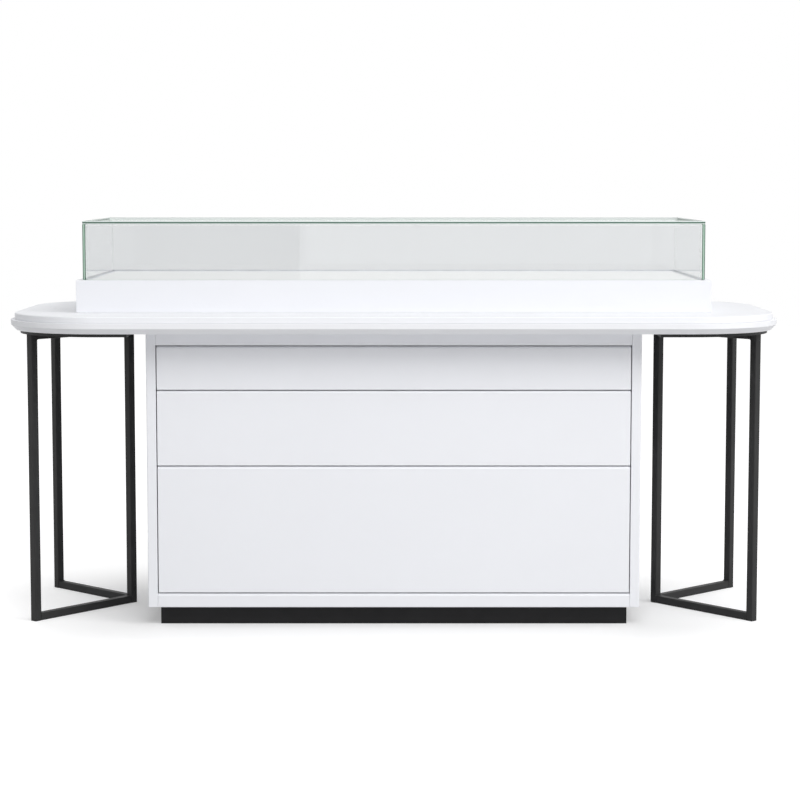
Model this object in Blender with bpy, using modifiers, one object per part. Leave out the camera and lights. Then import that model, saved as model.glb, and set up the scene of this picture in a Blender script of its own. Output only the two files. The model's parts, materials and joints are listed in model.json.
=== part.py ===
"""Shop display counter: a drawer cabinet under a round-cornered table top, with a steel V frame
under each end of the top and a glass showcase with a glass-fronted pull-out tray standing on it.

Metres, +Z up. The drawers face -Y. The origin is on the floor under the middle of the table top.
"""
import math

import bmesh
import bpy
from mathutils import Matrix, Vector

# Driving dimensions: table top
TABLE_LENGTH = 2.000
TABLE_DEPTH = 0.820
TABLE_HEIGHT = 0.805
TABLE_CORNER = 0.250
LOWER_EDGE = 0.013
LOWER_CHAMFER = 0.014
UPPER_THICKNESS = 0.0165
UPPER_SETBACK = 0.010
UPPER_EASING = 0.002

# Driving dimensions: cabinet
CABINET_WIDTH = 1.270
CABINET_DEPTH = 0.620
SIDE_THICKNESS = 0.025
SIDE_ROUNDING = 0.003
TOP_THICKNESS = 0.034
BOTTOM_THICKNESS = 0.036
BACK_THICKNESS = 0.018
PLINTH_HEIGHT = 0.048
PLINTH_SETBACK = 0.030
PLINTH_BOARD = 0.018

# Driving dimensions: drawers, the tall front takes the height that is left
TOP_FRONT_HEIGHT = 0.1115
MIDDLE_FRONT_HEIGHT = 0.1930
FRONT_THICKNESS = 0.020
FRONT_GAP = 0.0025
FRONT_BEVEL = 0.005
FRONT_EASING = 0.001
BOX_WALL = 0.012
BOX_FLOOR = 0.009
BOX_LIFT = 0.012
BOX_DROP = 0.024
BOX_BACK_ROOM = 0.060

# Driving dimensions: two-beam drawer slides
SLIDE_WIDTH = 0.0127
SLIDE_HEIGHT = 0.035
SLIDE_SHEET = 0.0015
SLIDE_NESTING = 0.0065
SLIDE_RISE = 0.030

# Driving dimensions: steel V frames, each from the cabinet side and the ends of the table top
TUBE = 0.020
TUBE_WALL = 0.0015
TUBE_CORNER = 0.0018
TOP_RAIL_HEIGHT = 0.015
PLATE_THICKNESS = 0.008
PLATE_INSET = 0.010
PLATE_FROM_CABINET = 0.039
INNER_POST_FROM_CABINET = 0.0805
INNER_POST_OFFSET = 0.019
FRONT_POST_FROM_END = 0.064
FRONT_POST_FROM_EDGE = 0.168
BACK_POST_FROM_END = 0.052
BACK_POST_FROM_EDGE = 0.166

# Driving dimensions: showcase on the table top
CASE_END_MARGIN = 0.1675
CASE_FRONT_LEDGE = 0.172
CASE_BACK_MARGIN = 0.020
BASE_HEIGHT = 0.085
GLASS_HEIGHT = 0.152
GLASS_SETBACK = 0.016
GLASS_THICKNESS = 0.008
GLASS_ARRIS = 0.0006
PANE_MARGIN = 0.006
STRIP_HEIGHT = 0.004
STRIP_THICKNESS = 0.002
DECK_THICKNESS = 0.018
TRAY_SIDE = 0.015
TRAY_BACK_ROOM = 0.050

# Clearances
SEAT = 0.0003
SLIDE_RUN = 0.0004
TRAY_RUN = 0.0015
TRAY_LIFT = 0.006
DECK_DROP = 0.0007
FASCIA_GAP = 0.001

# Facets
CORNER_STEPS = 16
TUBE_STEPS = 2
ROUNDING_STEPS = 3
BOARD_EASING = 0.001

# Heights and faces that several pieces share
LOWER_THICKNESS = LOWER_EDGE + LOWER_CHAMFER
SLAB_UNDERSIDE = TABLE_HEIGHT - UPPER_THICKNESS - SEAT - LOWER_THICKNESS
CARCASS_BOTTOM = PLINTH_HEIGHT + SEAT
CARCASS_TOP = SLAB_UNDERSIDE - SEAT
CABINET_SIDE = CABINET_WIDTH / 2
CABINET_INSIDE = CABINET_SIDE - SIDE_THICKNESS
CABINET_FRONT = -CABINET_DEPTH / 2
CABINET_BACK = CABINET_DEPTH / 2
BACK_INSIDE = CABINET_BACK - BACK_THICKNESS
OPENING_BOTTOM = CARCASS_BOTTOM + BOTTOM_THICKNESS
OPENING_TOP = CARCASS_TOP - TOP_THICKNESS
CASE_SIDE = TABLE_LENGTH / 2 - UPPER_SETBACK - CASE_END_MARGIN
CASE_FRONT = -TABLE_DEPTH / 2 + UPPER_SETBACK + CASE_FRONT_LEDGE
CASE_BACK = TABLE_DEPTH / 2 - UPPER_SETBACK - CASE_BACK_MARGIN
BASE_BOTTOM = TABLE_HEIGHT + SEAT
BASE_RIM = BASE_BOTTOM + BASE_HEIGHT
GLASS_SIDE = CASE_SIDE - GLASS_SETBACK
GLASS_FRONT = CASE_FRONT + GLASS_SETBACK
GLASS_BACK = CASE_BACK - GLASS_SETBACK
GLASS_INSIDE = GLASS_SIDE - GLASS_THICKNESS
GLASS_TOP = BASE_RIM + GLASS_HEIGHT
GLASS_SHOULDER = GLASS_TOP - GLASS_THICKNESS
TRAY_BAY = GLASS_INSIDE - PANE_MARGIN
BAY_BACK = GLASS_BACK - GLASS_THICKNESS - PANE_MARGIN
FASCIA_BACK = GLASS_FRONT + GLASS_THICKNESS + PANE_MARGIN
DECK_TOP = BASE_RIM - DECK_DROP
DECK_UNDERSIDE = DECK_TOP - DECK_THICKNESS

UP = Vector((0.0, 0.0, 1.0))
TO_FRONT = Vector((0.0, -1.0, 0.0))
TO_BACK = Vector((0.0, 1.0, 0.0))
TO_LEFT = Vector((-1.0, 0.0, 0.0))
TO_RIGHT = Vector((1.0, 0.0, 0.0))

# Finishes: colour, roughness, metallic value
FINISHES = {
    "white_lacquer": ((0.86, 0.865, 0.88), 0.30, 0.0),
    "white_board": ((0.80, 0.80, 0.80), 0.55, 0.0),
    "black_plinth": ((0.022, 0.022, 0.024), 0.45, 0.0),
    "black_steel": ((0.032, 0.032, 0.033), 0.42, 0.6),
    "slide_steel": ((0.55, 0.56, 0.58), 0.32, 1.0),
    "clear_glass": ((0.86, 0.95, 0.91), 0.02, 0.0),
}


def clear_scene():
    """Remove every object, so that the part stands alone in the file."""
    for thing in list(bpy.data.objects):
        bpy.data.objects.remove(thing, do_unlink=True)


def new_collection(name):
    """A collection of this name, linked to the scene."""
    group = bpy.data.collections.new(name)
    bpy.context.scene.collection.children.link(group)
    return group


def part_material(part_name, finish):
    """A material of the part's own, with the colour and gloss of its finish."""
    colour, roughness, metallic = FINISHES[finish]
    material = bpy.data.materials.new(part_name + "_" + finish)
    material.use_nodes = True
    shader = material.node_tree.nodes["Principled BSDF"]
    shader.inputs["Base Color"].default_value = (*colour, 1.0)
    shader.inputs["Roughness"].default_value = roughness
    shader.inputs["Metallic"].default_value = metallic
    if finish == "clear_glass":
        shader.inputs["Transmission Weight"].default_value = 1.0
    material.diffuse_color = (*colour, 1.0)
    return material


def add_part(name, mesh, finish, place, carrier=None):
    """Put a mesh in the counter's collection as a named part, carried by an empty if it moves."""
    part = bpy.data.objects.new(name, mesh)
    COUNTER.objects.link(part)
    mesh.materials.append(part_material(name, finish))
    part.matrix_world = place
    if carrier:
        part.parent = carrier
        part.matrix_parent_inverse = carrier.matrix_world.inverted()
    return part


def joint_empty(name, position):
    """An empty on the axis of a moving group."""
    empty = bpy.data.objects.new(name, None)
    COUNTER.objects.link(empty)
    empty.matrix_world = Matrix.Translation(position)
    bpy.context.view_layer.update()
    return empty


def ease_edges(part, width):
    """Round the part's edges with a narrow bevel."""
    easing = part.modifiers.new("eased_edges", "BEVEL")
    easing.width = width
    easing.segments = 2
    easing.limit_method = "ANGLE"
    easing.harden_normals = False


def box_mesh(name, size):
    """A box of this size about its own middle."""
    mesh = bpy.data.meshes.new(name)
    shape = bmesh.new()
    bmesh.ops.create_cube(shape, size=1.0)
    bmesh.ops.scale(shape, vec=size, verts=shape.verts)
    shape.to_mesh(mesh)
    shape.free()
    return mesh


def add_board(name, low, high, finish, easing=BOARD_EASING, carrier=None):
    """A flat board or pane between two opposite corners, with eased edges."""
    low = Vector(low)
    high = Vector(high)
    place = Matrix.Translation((low + high) / 2)
    part = add_part(name, box_mesh(name, high - low), finish, place, carrier)
    ease_edges(part, easing)
    return part


def bevel_edge(part, toward, width, steps):
    """Bevel the one edge of a box that lies furthest toward both directions."""
    shape = bmesh.new()
    shape.from_mesh(part.data)
    corners = list(shape.verts)
    for direction in toward:
        furthest = max(corner.co.dot(direction) for corner in corners)
        corners = [corner for corner in corners if corner.co.dot(direction) > furthest - SEAT]
    edge = shape.edges.get(corners)
    bmesh.ops.bevel(shape, geom=[edge], offset=width, offset_type="OFFSET", segments=steps,
                    profile=0.5, affect="EDGES")
    shape.to_mesh(part.data)
    shape.free()


def cut_box(part, low, high):
    """Cut a box-shaped hollow out of a part."""
    low = Vector(low)
    high = Vector(high)
    name = part.name + "_cutter"
    cutter = bpy.data.objects.new(name, box_mesh(name, high - low))
    CUTTERS.objects.link(cutter)
    cutter.matrix_world = Matrix.Translation((low + high) / 2)
    cutter.hide_render = True
    cutter.display_type = "WIRE"
    if part.parent:
        cutter.parent = part.parent
        cutter.matrix_parent_inverse = part.parent.matrix_world.inverted()
    cut = part.modifiers.new("hollow", "BOOLEAN")
    cut.operation = "DIFFERENCE"
    cut.solver = "EXACT"
    cut.object = cutter


def rounded_rectangle(width, height, radius, steps):
    """Outline points of a rectangle with round corners, counter-clockwise about its middle."""
    points = []
    for quarter in range(4):
        sign_x = 1 if quarter in (0, 3) else -1
        sign_y = 1 if quarter in (0, 1) else -1
        centre = (sign_x * (width / 2 - radius), sign_y * (height / 2 - radius))
        for step in range(steps + 1):
            angle = math.pi / 2 * (quarter + step / steps)
            points.append((centre[0] + radius * math.cos(angle), centre[1] + radius * math.sin(angle)))
    return points


def profile_mesh(name, outlines, length):
    """Closed outlines extruded along local Z about the middle; a second outline is a hole."""
    curve = bpy.data.curves.new(name, "CURVE")
    curve.dimensions = "2D"
    curve.fill_mode = "BOTH"
    curve.extrude = length / 2
    for points in outlines:
        spline = curve.splines.new("POLY")
        spline.points.add(len(points) - 1)
        for place, (across, up) in zip(spline.points, points):
            place.co = (across, up, 0.0, 1.0)
        spline.use_cyclic_u = True
    drawn = bpy.data.objects.new(name + "_outline", curve)
    CUTTERS.objects.link(drawn)
    bpy.context.view_layer.update()
    mesh = bpy.data.meshes.new_from_object(drawn.evaluated_get(bpy.context.evaluated_depsgraph_get()))
    bpy.data.objects.remove(drawn, do_unlink=True)
    bpy.data.curves.remove(curve)
    mesh.name = name
    mesh.materials.clear()
    shape = bmesh.new()
    shape.from_mesh(mesh)
    bmesh.ops.remove_doubles(shape, verts=shape.verts, dist=0.00001)
    bmesh.ops.recalc_face_normals(shape, faces=shape.faces)
    shape.to_mesh(mesh)
    shape.free()
    return mesh


def frame_matrix(origin, along, up):
    """A place whose local Z runs along one direction and whose local Y points up."""
    along = Vector(along).normalized()
    across = Vector(up).cross(along).normalized()
    turn = Matrix((across, along.cross(across), along)).transposed()
    return Matrix.Translation(origin) @ turn.to_4x4()


def join_cap(shape, normal):
    """Join the triangles of a flat cap into one face."""
    cap = [face for face in shape.faces if face.normal.dot(normal) > 0.99]
    return bmesh.ops.dissolve_faces(shape, faces=cap)["region"][0]


def build_table_top():
    """The lower slab with its chamfered underside, and the slightly smaller upper slab."""
    outline = rounded_rectangle(TABLE_LENGTH, TABLE_DEPTH, TABLE_CORNER, CORNER_STEPS)
    mesh = profile_mesh("table_lower_slab", [outline], LOWER_THICKNESS)
    shape = bmesh.new()
    shape.from_mesh(mesh)
    join_cap(shape, UP)
    underside = join_cap(shape, -UP)
    bmesh.ops.bevel(shape, geom=list(underside.edges), offset=LOWER_CHAMFER, offset_type="OFFSET",
                    segments=1, affect="EDGES", clamp_overlap=False)
    shape.to_mesh(mesh)
    shape.free()
    middle = SLAB_UNDERSIDE + LOWER_THICKNESS / 2
    add_part("table_lower_slab", mesh, "white_lacquer", Matrix.Translation((0, 0, middle)))

    outline = rounded_rectangle(TABLE_LENGTH - 2 * UPPER_SETBACK, TABLE_DEPTH - 2 * UPPER_SETBACK,
                                TABLE_CORNER - UPPER_SETBACK, CORNER_STEPS)
    mesh = profile_mesh("table_upper_slab", [outline], UPPER_THICKNESS)
    shape = bmesh.new()
    shape.from_mesh(mesh)
    join_cap(shape, -UP)
    top = join_cap(shape, UP)
    bmesh.ops.bevel(shape, geom=list(top.edges), offset=UPPER_EASING, offset_type="OFFSET",
                    segments=2, profile=0.5, affect="EDGES")
    shape.to_mesh(mesh)
    shape.free()
    middle = TABLE_HEIGHT - UPPER_THICKNESS / 2
    add_part("table_upper_slab", mesh, "white_lacquer", Matrix.Translation((0, 0, middle)))


def build_carcass():
    """The plinth frame, two sides, bottom, top and back of the drawer cabinet."""
    side = CABINET_SIDE - PLINTH_SETBACK
    front = CABINET_FRONT + PLINTH_SETBACK
    back = CABINET_BACK - PLINTH_SETBACK
    plinth = add_part("plinth_frame", box_mesh("plinth_frame", (2 * side, back - front, PLINTH_HEIGHT)),
                      "black_plinth", Matrix.Translation((0, (front + back) / 2, PLINTH_HEIGHT / 2)))
    cut_box(plinth, (-side + PLINTH_BOARD, front + PLINTH_BOARD, -PLINTH_BOARD),
            (side - PLINTH_BOARD, back - PLINTH_BOARD, PLINTH_HEIGHT + PLINTH_BOARD))

    left = add_board("side_panel_left", (-CABINET_SIDE, CABINET_FRONT, CARCASS_BOTTOM),
                     (-CABINET_INSIDE, CABINET_BACK, CARCASS_TOP), "white_lacquer")
    bevel_edge(left, (TO_FRONT, TO_LEFT), SIDE_ROUNDING, ROUNDING_STEPS)
    right = add_board("side_panel_right", (CABINET_INSIDE, CABINET_FRONT, CARCASS_BOTTOM),
                      (CABINET_SIDE, CABINET_BACK, CARCASS_TOP), "white_lacquer")
    bevel_edge(right, (TO_FRONT, TO_RIGHT), SIDE_ROUNDING, ROUNDING_STEPS)
    inside = CABINET_INSIDE - SEAT
    bottom = add_board("bottom_panel", (-inside, CABINET_FRONT, CARCASS_BOTTOM),
                       (inside, BACK_INSIDE - SEAT, OPENING_BOTTOM), "white_lacquer")
    bevel_edge(bottom, (TO_FRONT, UP), FRONT_BEVEL, 1)
    add_board("top_panel", (-inside, CABINET_FRONT, OPENING_TOP),
              (inside, BACK_INSIDE - SEAT, CARCASS_TOP), "white_lacquer")
    add_board("back_panel", (-inside, BACK_INSIDE, CARCASS_BOTTOM),
              (inside, CABINET_BACK, CARCASS_TOP), "white_lacquer")


def channel(web, mouth, height):
    """Outline of a C-shaped sheet-metal channel from its web to its open mouth."""
    sheet = math.copysign(SLIDE_SHEET, mouth - web)
    outer = height / 2
    inner = outer - SLIDE_SHEET
    return [(web, -outer), (mouth, -outer), (mouth, -inner), (web + sheet, -inner),
            (web + sheet, inner), (mouth, inner), (mouth, outer), (web, outer)]


def add_slides(name, bay, height, start, length, carrier):
    """A pair of two-beam slides: channels on the bay's walls, and channels on what they carry."""
    fixed = channel(SEAT, SEAT + SLIDE_SHEET + SLIDE_NESTING, SLIDE_HEIGHT)
    run_height = SLIDE_HEIGHT - 2 * SLIDE_SHEET - 2 * SLIDE_RUN
    moving = channel(SLIDE_WIDTH - SEAT, SEAT + 2 * SLIDE_SHEET, run_height)
    for side, along in (("left", TO_FRONT), ("right", TO_BACK)):
        wall = -bay if side == "left" else bay
        place = frame_matrix((wall, start + length / 2, height), along, UP)
        fixed_name = name + "_slide_" + side + "_fixed"
        add_part(fixed_name, profile_mesh(fixed_name, [fixed], length), "slide_steel", place)
        moving_name = name + "_slide_" + side + "_moving"
        add_part(moving_name, profile_mesh(moving_name, [moving], length), "slide_steel", place, carrier)


def build_drawer(name, bottom, top):
    """One drawer: its inset front with a bevelled top, the open box behind it and its slides."""
    width = CABINET_INSIDE - FRONT_GAP
    carrier = joint_empty(name + "_slide_axis", (0, CABINET_FRONT, (bottom + top) / 2))
    front_back = CABINET_FRONT + FRONT_THICKNESS
    front = add_board(name + "_front", (-width, CABINET_FRONT, bottom), (width, front_back, top),
                      "white_lacquer", FRONT_EASING, carrier)
    bevel_edge(front, (TO_FRONT, UP), FRONT_BEVEL, 1)

    side = CABINET_INSIDE - SLIDE_WIDTH
    start = front_back + SEAT
    end = BACK_INSIDE - BOX_BACK_ROOM
    low = (-side, start, bottom + BOX_LIFT)
    high = (side, end, top - BOX_DROP)
    box = add_part(name + "_box", box_mesh(name + "_box", Vector(high) - Vector(low)), "white_board",
                   Matrix.Translation((Vector(low) + Vector(high)) / 2), carrier)
    cut_box(box, (low[0] + BOX_WALL, low[1] + BOX_WALL, low[2] + BOX_FLOOR),
            (high[0] - BOX_WALL, high[1] - BOX_WALL, high[2] + BOX_FLOOR))
    add_slides(name, CABINET_INSIDE, low[2] + SLIDE_RISE, start, end - start, carrier)


def build_drawers():
    """Three drawers from the top down, the lowest one tall."""
    top = OPENING_TOP - FRONT_GAP
    for name, height in (("top_drawer", TOP_FRONT_HEIGHT), ("middle_drawer", MIDDLE_FRONT_HEIGHT)):
        build_drawer(name, top - height, top)
        top = top - height - FRONT_GAP
    build_drawer("tall_drawer", OPENING_BOTTOM + FRONT_GAP, top)


def add_post(name, position, arm, top):
    """An upright square tube, closed at its foot and open under the plate, turned to its arm."""
    outline = rounded_rectangle(TUBE, TUBE, TUBE_CORNER, TUBE_STEPS)
    mesh = profile_mesh(name, [outline], top)
    shape = bmesh.new()
    shape.from_mesh(mesh)
    join_cap(shape, -UP)
    cap = join_cap(shape, UP)
    bmesh.ops.inset_region(shape, faces=[cap], thickness=TUBE_WALL, use_even_offset=True)
    bore = bmesh.ops.extrude_discrete_faces(shape, faces=[cap])["faces"][0]
    bmesh.ops.translate(shape, vec=-UP * (top - TUBE_WALL), verts=bore.verts)
    shape.to_mesh(mesh)
    shape.free()
    turn = Matrix.Rotation(math.atan2(arm.y, arm.x), 4, "Z")
    place = Matrix.Translation((position.x, position.y, top / 2)) @ turn
    add_part(name, mesh, "black_steel", place)


def add_rail(name, start, start_normal, end, height, tallness):
    """A level tube between two posts, its first end cut to the face that it meets."""
    arm = (end - start).normalized()
    reach = (end - start).length - TUBE / 2 - SEAT
    outer = rounded_rectangle(TUBE, tallness, TUBE_CORNER, TUBE_STEPS)
    inner = rounded_rectangle(TUBE - 2 * TUBE_WALL, tallness - 2 * TUBE_WALL, TUBE_CORNER - TUBE_WALL,
                              TUBE_STEPS)
    mesh = profile_mesh(name, [outer, inner], reach)
    middle = start + arm * reach / 2
    place = frame_matrix((middle.x, middle.y, height), (arm.x, arm.y, 0.0), UP)
    face = start + start_normal * (TUBE / 2 + SEAT)
    to_local = place.inverted()
    cut_point = to_local @ Vector((face.x, face.y, height))
    cut_normal = to_local.to_3x3() @ Vector((start_normal.x, start_normal.y, 0.0))
    shape = bmesh.new()
    shape.from_mesh(mesh)
    everything = list(shape.verts) + list(shape.edges) + list(shape.faces)
    cut = bmesh.ops.bisect_plane(shape, geom=everything, plane_co=cut_point, plane_no=cut_normal,
                                 clear_inner=True)
    rim = [item for item in cut["geom_cut"] if isinstance(item, bmesh.types.BMEdge)]
    bmesh.ops.triangle_fill(shape, edges=rim, use_beauty=True)
    bmesh.ops.recalc_face_normals(shape, faces=shape.faces)
    shape.to_mesh(mesh)
    shape.free()
    add_part(name, mesh, "black_steel", place)


def build_leg_frame(side_name, side):
    """One V frame: three posts, two foot rails, two top rails and the plate under the table top."""
    end = TABLE_LENGTH / 2
    edge = TABLE_DEPTH / 2
    inner = Vector((side * (CABINET_SIDE + INNER_POST_FROM_CABINET), INNER_POST_OFFSET))
    front = Vector((side * (end - FRONT_POST_FROM_END), FRONT_POST_FROM_EDGE - edge))
    back = Vector((side * (end - BACK_POST_FROM_END), edge - BACK_POST_FROM_EDGE))
    front_arm = (front - inner).normalized()
    back_arm = (back - inner).normalized()
    inner_face = Vector((-front_arm.y, front_arm.x)) * side
    plate_bottom = SLAB_UNDERSIDE - SEAT - PLATE_THICKNESS
    post_top = plate_bottom - SEAT

    add_post(side_name + "_front_leg", front, front_arm, post_top)
    add_post(side_name + "_inner_leg", inner, front_arm, post_top)
    add_post(side_name + "_back_leg", back, back_arm, post_top)
    levels = (("foot", TUBE / 2, TUBE), ("top", post_top - TOP_RAIL_HEIGHT / 2, TOP_RAIL_HEIGHT))
    for level, height, tallness in levels:
        add_rail(side_name + "_front_" + level + "_rail", inner, front_arm, front, height, tallness)
        add_rail(side_name + "_back_" + level + "_rail", inner, inner_face, back, height, tallness)

    outline = plate_outline(CABINET_SIDE + PLATE_FROM_CABINET)
    name = side_name + "_top_plate"
    mesh = profile_mesh(name, [[(side * along, across) for along, across in outline]], PLATE_THICKNESS)
    add_part(name, mesh, "black_steel", Matrix.Translation((0, 0, plate_bottom + PLATE_THICKNESS / 2)))


def plate_outline(start):
    """Outline of the plate under the table's right end: a straight inner edge, then the table's own curve."""
    inset = LOWER_CHAMFER + PLATE_INSET
    depth = TABLE_DEPTH - 2 * inset
    curve = rounded_rectangle(TABLE_LENGTH - 2 * inset, depth, TABLE_CORNER - inset, CORNER_STEPS)
    quarter = CORNER_STEPS + 1
    return curve[3 * quarter:] + curve[:quarter] + [(start, depth / 2), (start, -depth / 2)]


def build_case_base():
    """The white box under the glass: two side walls and the back wall, open to the tray."""
    start = FASCIA_BACK + FASCIA_GAP
    add_board("case_base_left", (-CASE_SIDE, start, BASE_BOTTOM), (-TRAY_BAY, CASE_BACK, BASE_RIM),
              "white_lacquer")
    add_board("case_base_right", (TRAY_BAY, start, BASE_BOTTOM), (CASE_SIDE, CASE_BACK, BASE_RIM),
              "white_lacquer")
    bay = TRAY_BAY - SEAT
    add_board("case_base_back", (-bay, BAY_BACK, BASE_BOTTOM), (bay, CASE_BACK, BASE_RIM),
              "white_lacquer")


def build_glass_hood():
    """Four bonded panes, two sides, the rear between them and the top, with a glazing strip at their foot."""
    bottom = BASE_RIM + SEAT
    upright = GLASS_SHOULDER - SEAT
    between = GLASS_INSIDE - SEAT
    rear = GLASS_BACK - GLASS_THICKNESS - SEAT
    start = FASCIA_BACK + FASCIA_GAP
    inner = between - STRIP_THICKNESS
    inner_rear = rear - STRIP_THICKNESS
    outline = [(-between, start), (-inner, start), (-inner, inner_rear), (inner, inner_rear),
               (inner, start), (between, start), (between, rear), (-between, rear)]
    mesh = profile_mesh("glazing_strip", [outline], STRIP_HEIGHT)
    add_part("glazing_strip", mesh, "slide_steel", Matrix.Translation((0, 0, bottom + STRIP_HEIGHT / 2)))
    panes = (
        ("glass_left", (-GLASS_SIDE, GLASS_FRONT, bottom), (-GLASS_INSIDE, GLASS_BACK, upright)),
        ("glass_right", (GLASS_INSIDE, GLASS_FRONT, bottom), (GLASS_SIDE, GLASS_BACK, upright)),
        ("glass_rear", (-between, GLASS_BACK - GLASS_THICKNESS, bottom), (between, GLASS_BACK, upright)),
        ("glass_top", (-GLASS_SIDE, GLASS_FRONT, GLASS_SHOULDER), (GLASS_SIDE, GLASS_BACK, GLASS_TOP)),
    )
    for name, low, high in panes:
        add_board(name, low, high, "clear_glass", GLASS_ARRIS)


def build_tray():
    """The pull-out tray: the base's fascia with the front pane on it, the deck and two sides."""
    carrier = joint_empty("tray_slide_axis", (0, CASE_FRONT, (BASE_BOTTOM + BASE_RIM) / 2))
    add_board("tray_fascia", (-CASE_SIDE, CASE_FRONT, TABLE_HEIGHT + TRAY_RUN),
              (CASE_SIDE, FASCIA_BACK, DECK_TOP), "white_lacquer", BOARD_EASING, carrier)
    between = GLASS_INSIDE - TRAY_RUN
    add_board("glass_front", (-between, GLASS_FRONT, DECK_TOP + SEAT),
              (between, GLASS_FRONT + GLASS_THICKNESS, GLASS_SHOULDER - TRAY_RUN),
              "clear_glass", GLASS_ARRIS, carrier)
    deck_side = TRAY_BAY - TRAY_RUN
    start = FASCIA_BACK + SEAT
    end = BAY_BACK - TRAY_RUN
    add_board("tray_deck", (-deck_side, start, DECK_UNDERSIDE), (deck_side, end, DECK_TOP),
              "white_lacquer", BOARD_EASING, carrier)
    outside = TRAY_BAY - SLIDE_WIDTH
    low_edge = TABLE_HEIGHT + TRAY_LIFT
    high_edge = DECK_UNDERSIDE - SEAT
    add_board("tray_side_left", (-outside, start, low_edge), (-outside + TRAY_SIDE, end, high_edge),
              "white_board", BOARD_EASING, carrier)
    add_board("tray_side_right", (outside - TRAY_SIDE, start, low_edge), (outside, end, high_edge),
              "white_board", BOARD_EASING, carrier)
    slide_start = FASCIA_BACK + FASCIA_GAP
    length = end - TRAY_BACK_ROOM - slide_start
    add_slides("tray", TRAY_BAY, (low_edge + high_edge) / 2, slide_start, length, carrier)


clear_scene()
COUNTER = new_collection("display_counter")
CUTTERS = new_collection("cutters")
build_carcass()
build_table_top()
build_drawers()
build_leg_frame("left", -1)
build_leg_frame("right", 1)
build_case_base()
build_glass_hood()
build_tray()
bpy.context.view_layer.update()
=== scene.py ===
"""Looks of the shop display counter, laid out as a Blender add-on and run as a script.

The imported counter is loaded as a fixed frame. The operators give its nodes their finishes, put finer
pieces in place of some of them and set up the studio. Metres, +Z up, with the drawers facing -Y.
"""
import json
import math

import bmesh
import bpy
from bpy.props import FloatProperty, FloatVectorProperty, IntProperty, PointerProperty
from mathutils import Matrix, Vector

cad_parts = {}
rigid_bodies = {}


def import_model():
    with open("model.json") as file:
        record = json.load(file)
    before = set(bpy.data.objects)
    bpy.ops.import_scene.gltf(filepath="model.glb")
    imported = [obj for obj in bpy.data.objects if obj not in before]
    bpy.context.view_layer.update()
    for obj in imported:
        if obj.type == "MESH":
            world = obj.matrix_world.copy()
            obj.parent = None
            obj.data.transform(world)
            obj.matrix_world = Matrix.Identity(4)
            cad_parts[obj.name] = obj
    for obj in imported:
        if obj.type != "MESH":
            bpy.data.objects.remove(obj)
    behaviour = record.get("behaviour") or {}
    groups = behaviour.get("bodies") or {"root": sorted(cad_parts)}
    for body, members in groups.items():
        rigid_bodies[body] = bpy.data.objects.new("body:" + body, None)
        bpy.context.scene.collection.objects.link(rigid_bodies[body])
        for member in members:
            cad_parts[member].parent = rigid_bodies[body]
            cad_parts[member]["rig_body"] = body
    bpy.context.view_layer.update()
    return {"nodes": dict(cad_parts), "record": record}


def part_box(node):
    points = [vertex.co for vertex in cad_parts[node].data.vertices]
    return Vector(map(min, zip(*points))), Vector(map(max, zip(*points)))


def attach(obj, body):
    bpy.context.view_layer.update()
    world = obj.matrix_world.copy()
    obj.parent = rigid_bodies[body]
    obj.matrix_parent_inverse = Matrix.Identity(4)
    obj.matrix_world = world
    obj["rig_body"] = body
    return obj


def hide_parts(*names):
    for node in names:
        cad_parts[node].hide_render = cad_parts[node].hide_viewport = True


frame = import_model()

bl_info = {
    "name": "Display Counter Looks",
    "version": (1, 0, 0),
    "blender": (4, 5, 0),
    "location": "View3D > Sidebar > Counter",
    "description": "Dresses the packed display counter and sets up its studio",
    "category": "Object",
}

DRAWERS = ("top_drawer", "middle_drawer", "tall_drawer")
SLIDE_SETS = DRAWERS + ("tray",)
# Each side, and the way along X from it to the counter's middle.
SIDES = (("left", 1), ("right", -1))

# Edges stay sharp where faces turn by more than these angles.
SHEET_SHARP = math.radians(25)
SCREW_SHARP = math.radians(35)
CHANNEL_SHARP = math.radians(40)
# Points of a sheet that lie closer than this are merged.
MERGE_DISTANCE = 0.00002
# Points that are no further than this from the front count as the front edge.
FRONT_TOLERANCE = 0.00001
ROUNDING_POINTS = 3
PANE_CORNER_POINTS = 3
FLOOR_POINTS = 64

# Rings of a screw head, from its foot to the floor of its socket: shares of its radius and of its height, and
# whether the ring has six sides.
SCREW_RINGS = (
    (1.00, 0.00, False),
    (1.00, 0.35, False),
    (0.86, 0.80, False),
    (0.60, 1.00, False),
    (0.36, 1.00, True),
    (0.36, 0.45, True),
)
SCREW_POINTS = 24
# Half the angle that one of the six sides spans.
HALF_SIDE = math.radians(30)
# Screws behind a drawer front, as shares of its box's width and height. A tall box has two rows.
FRONT_SCREWS = (0.06, 0.35, 0.65, 0.94)
TALL_BOX = 0.1
TALL_BOX_ROWS = (0.72, 0.32)
LOW_BOX_ROWS = (0.55,)
# Screws along a slide, as shares of its length.
SLIDE_SCREWS = (0.08, 0.36, 0.64, 0.92)
# Screws of a top plate, as shares of the way from the inner post to the middle between the outer posts.
PLATE_SCREWS = (0.35, 0.62, 0.90)
# Pairs of its screws, as shares of its length from its inner end and of its depth to each side.
PLATE_SCREW_PAIRS = ((0.13, 0.44), (0.62, 0.375))
# The ripples of a weld are full across the bead and shorter along it.
WELD_STRETCH = (1.0, 1.0, 0.7)

# Noise values between which a drift runs from its least to its most.
NOISE_RANGE = (0.25, 0.75)
# How many smears of gloss lie across a patch of colour.
SMEARS_PER_PATCH = 2.7
# Layer Weight's Facing where a pane begins to turn plain see-through and where it has, and how far it turns.
FLAT_VIEW = (0.90, 0.955)
FLAT_VIEW_SHARE = 0.85
EDGE_ROUGHNESS = 0.12
# How far from its middle a pane's edge begins to change its tone and where it has, as shares of its profile.
# The change paints highlight and shade on the glass's green.
SIDE_EDGE_BAND = (0.10, 0.24)
TOP_EDGE_BAND = (0.18, 0.28)

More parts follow.
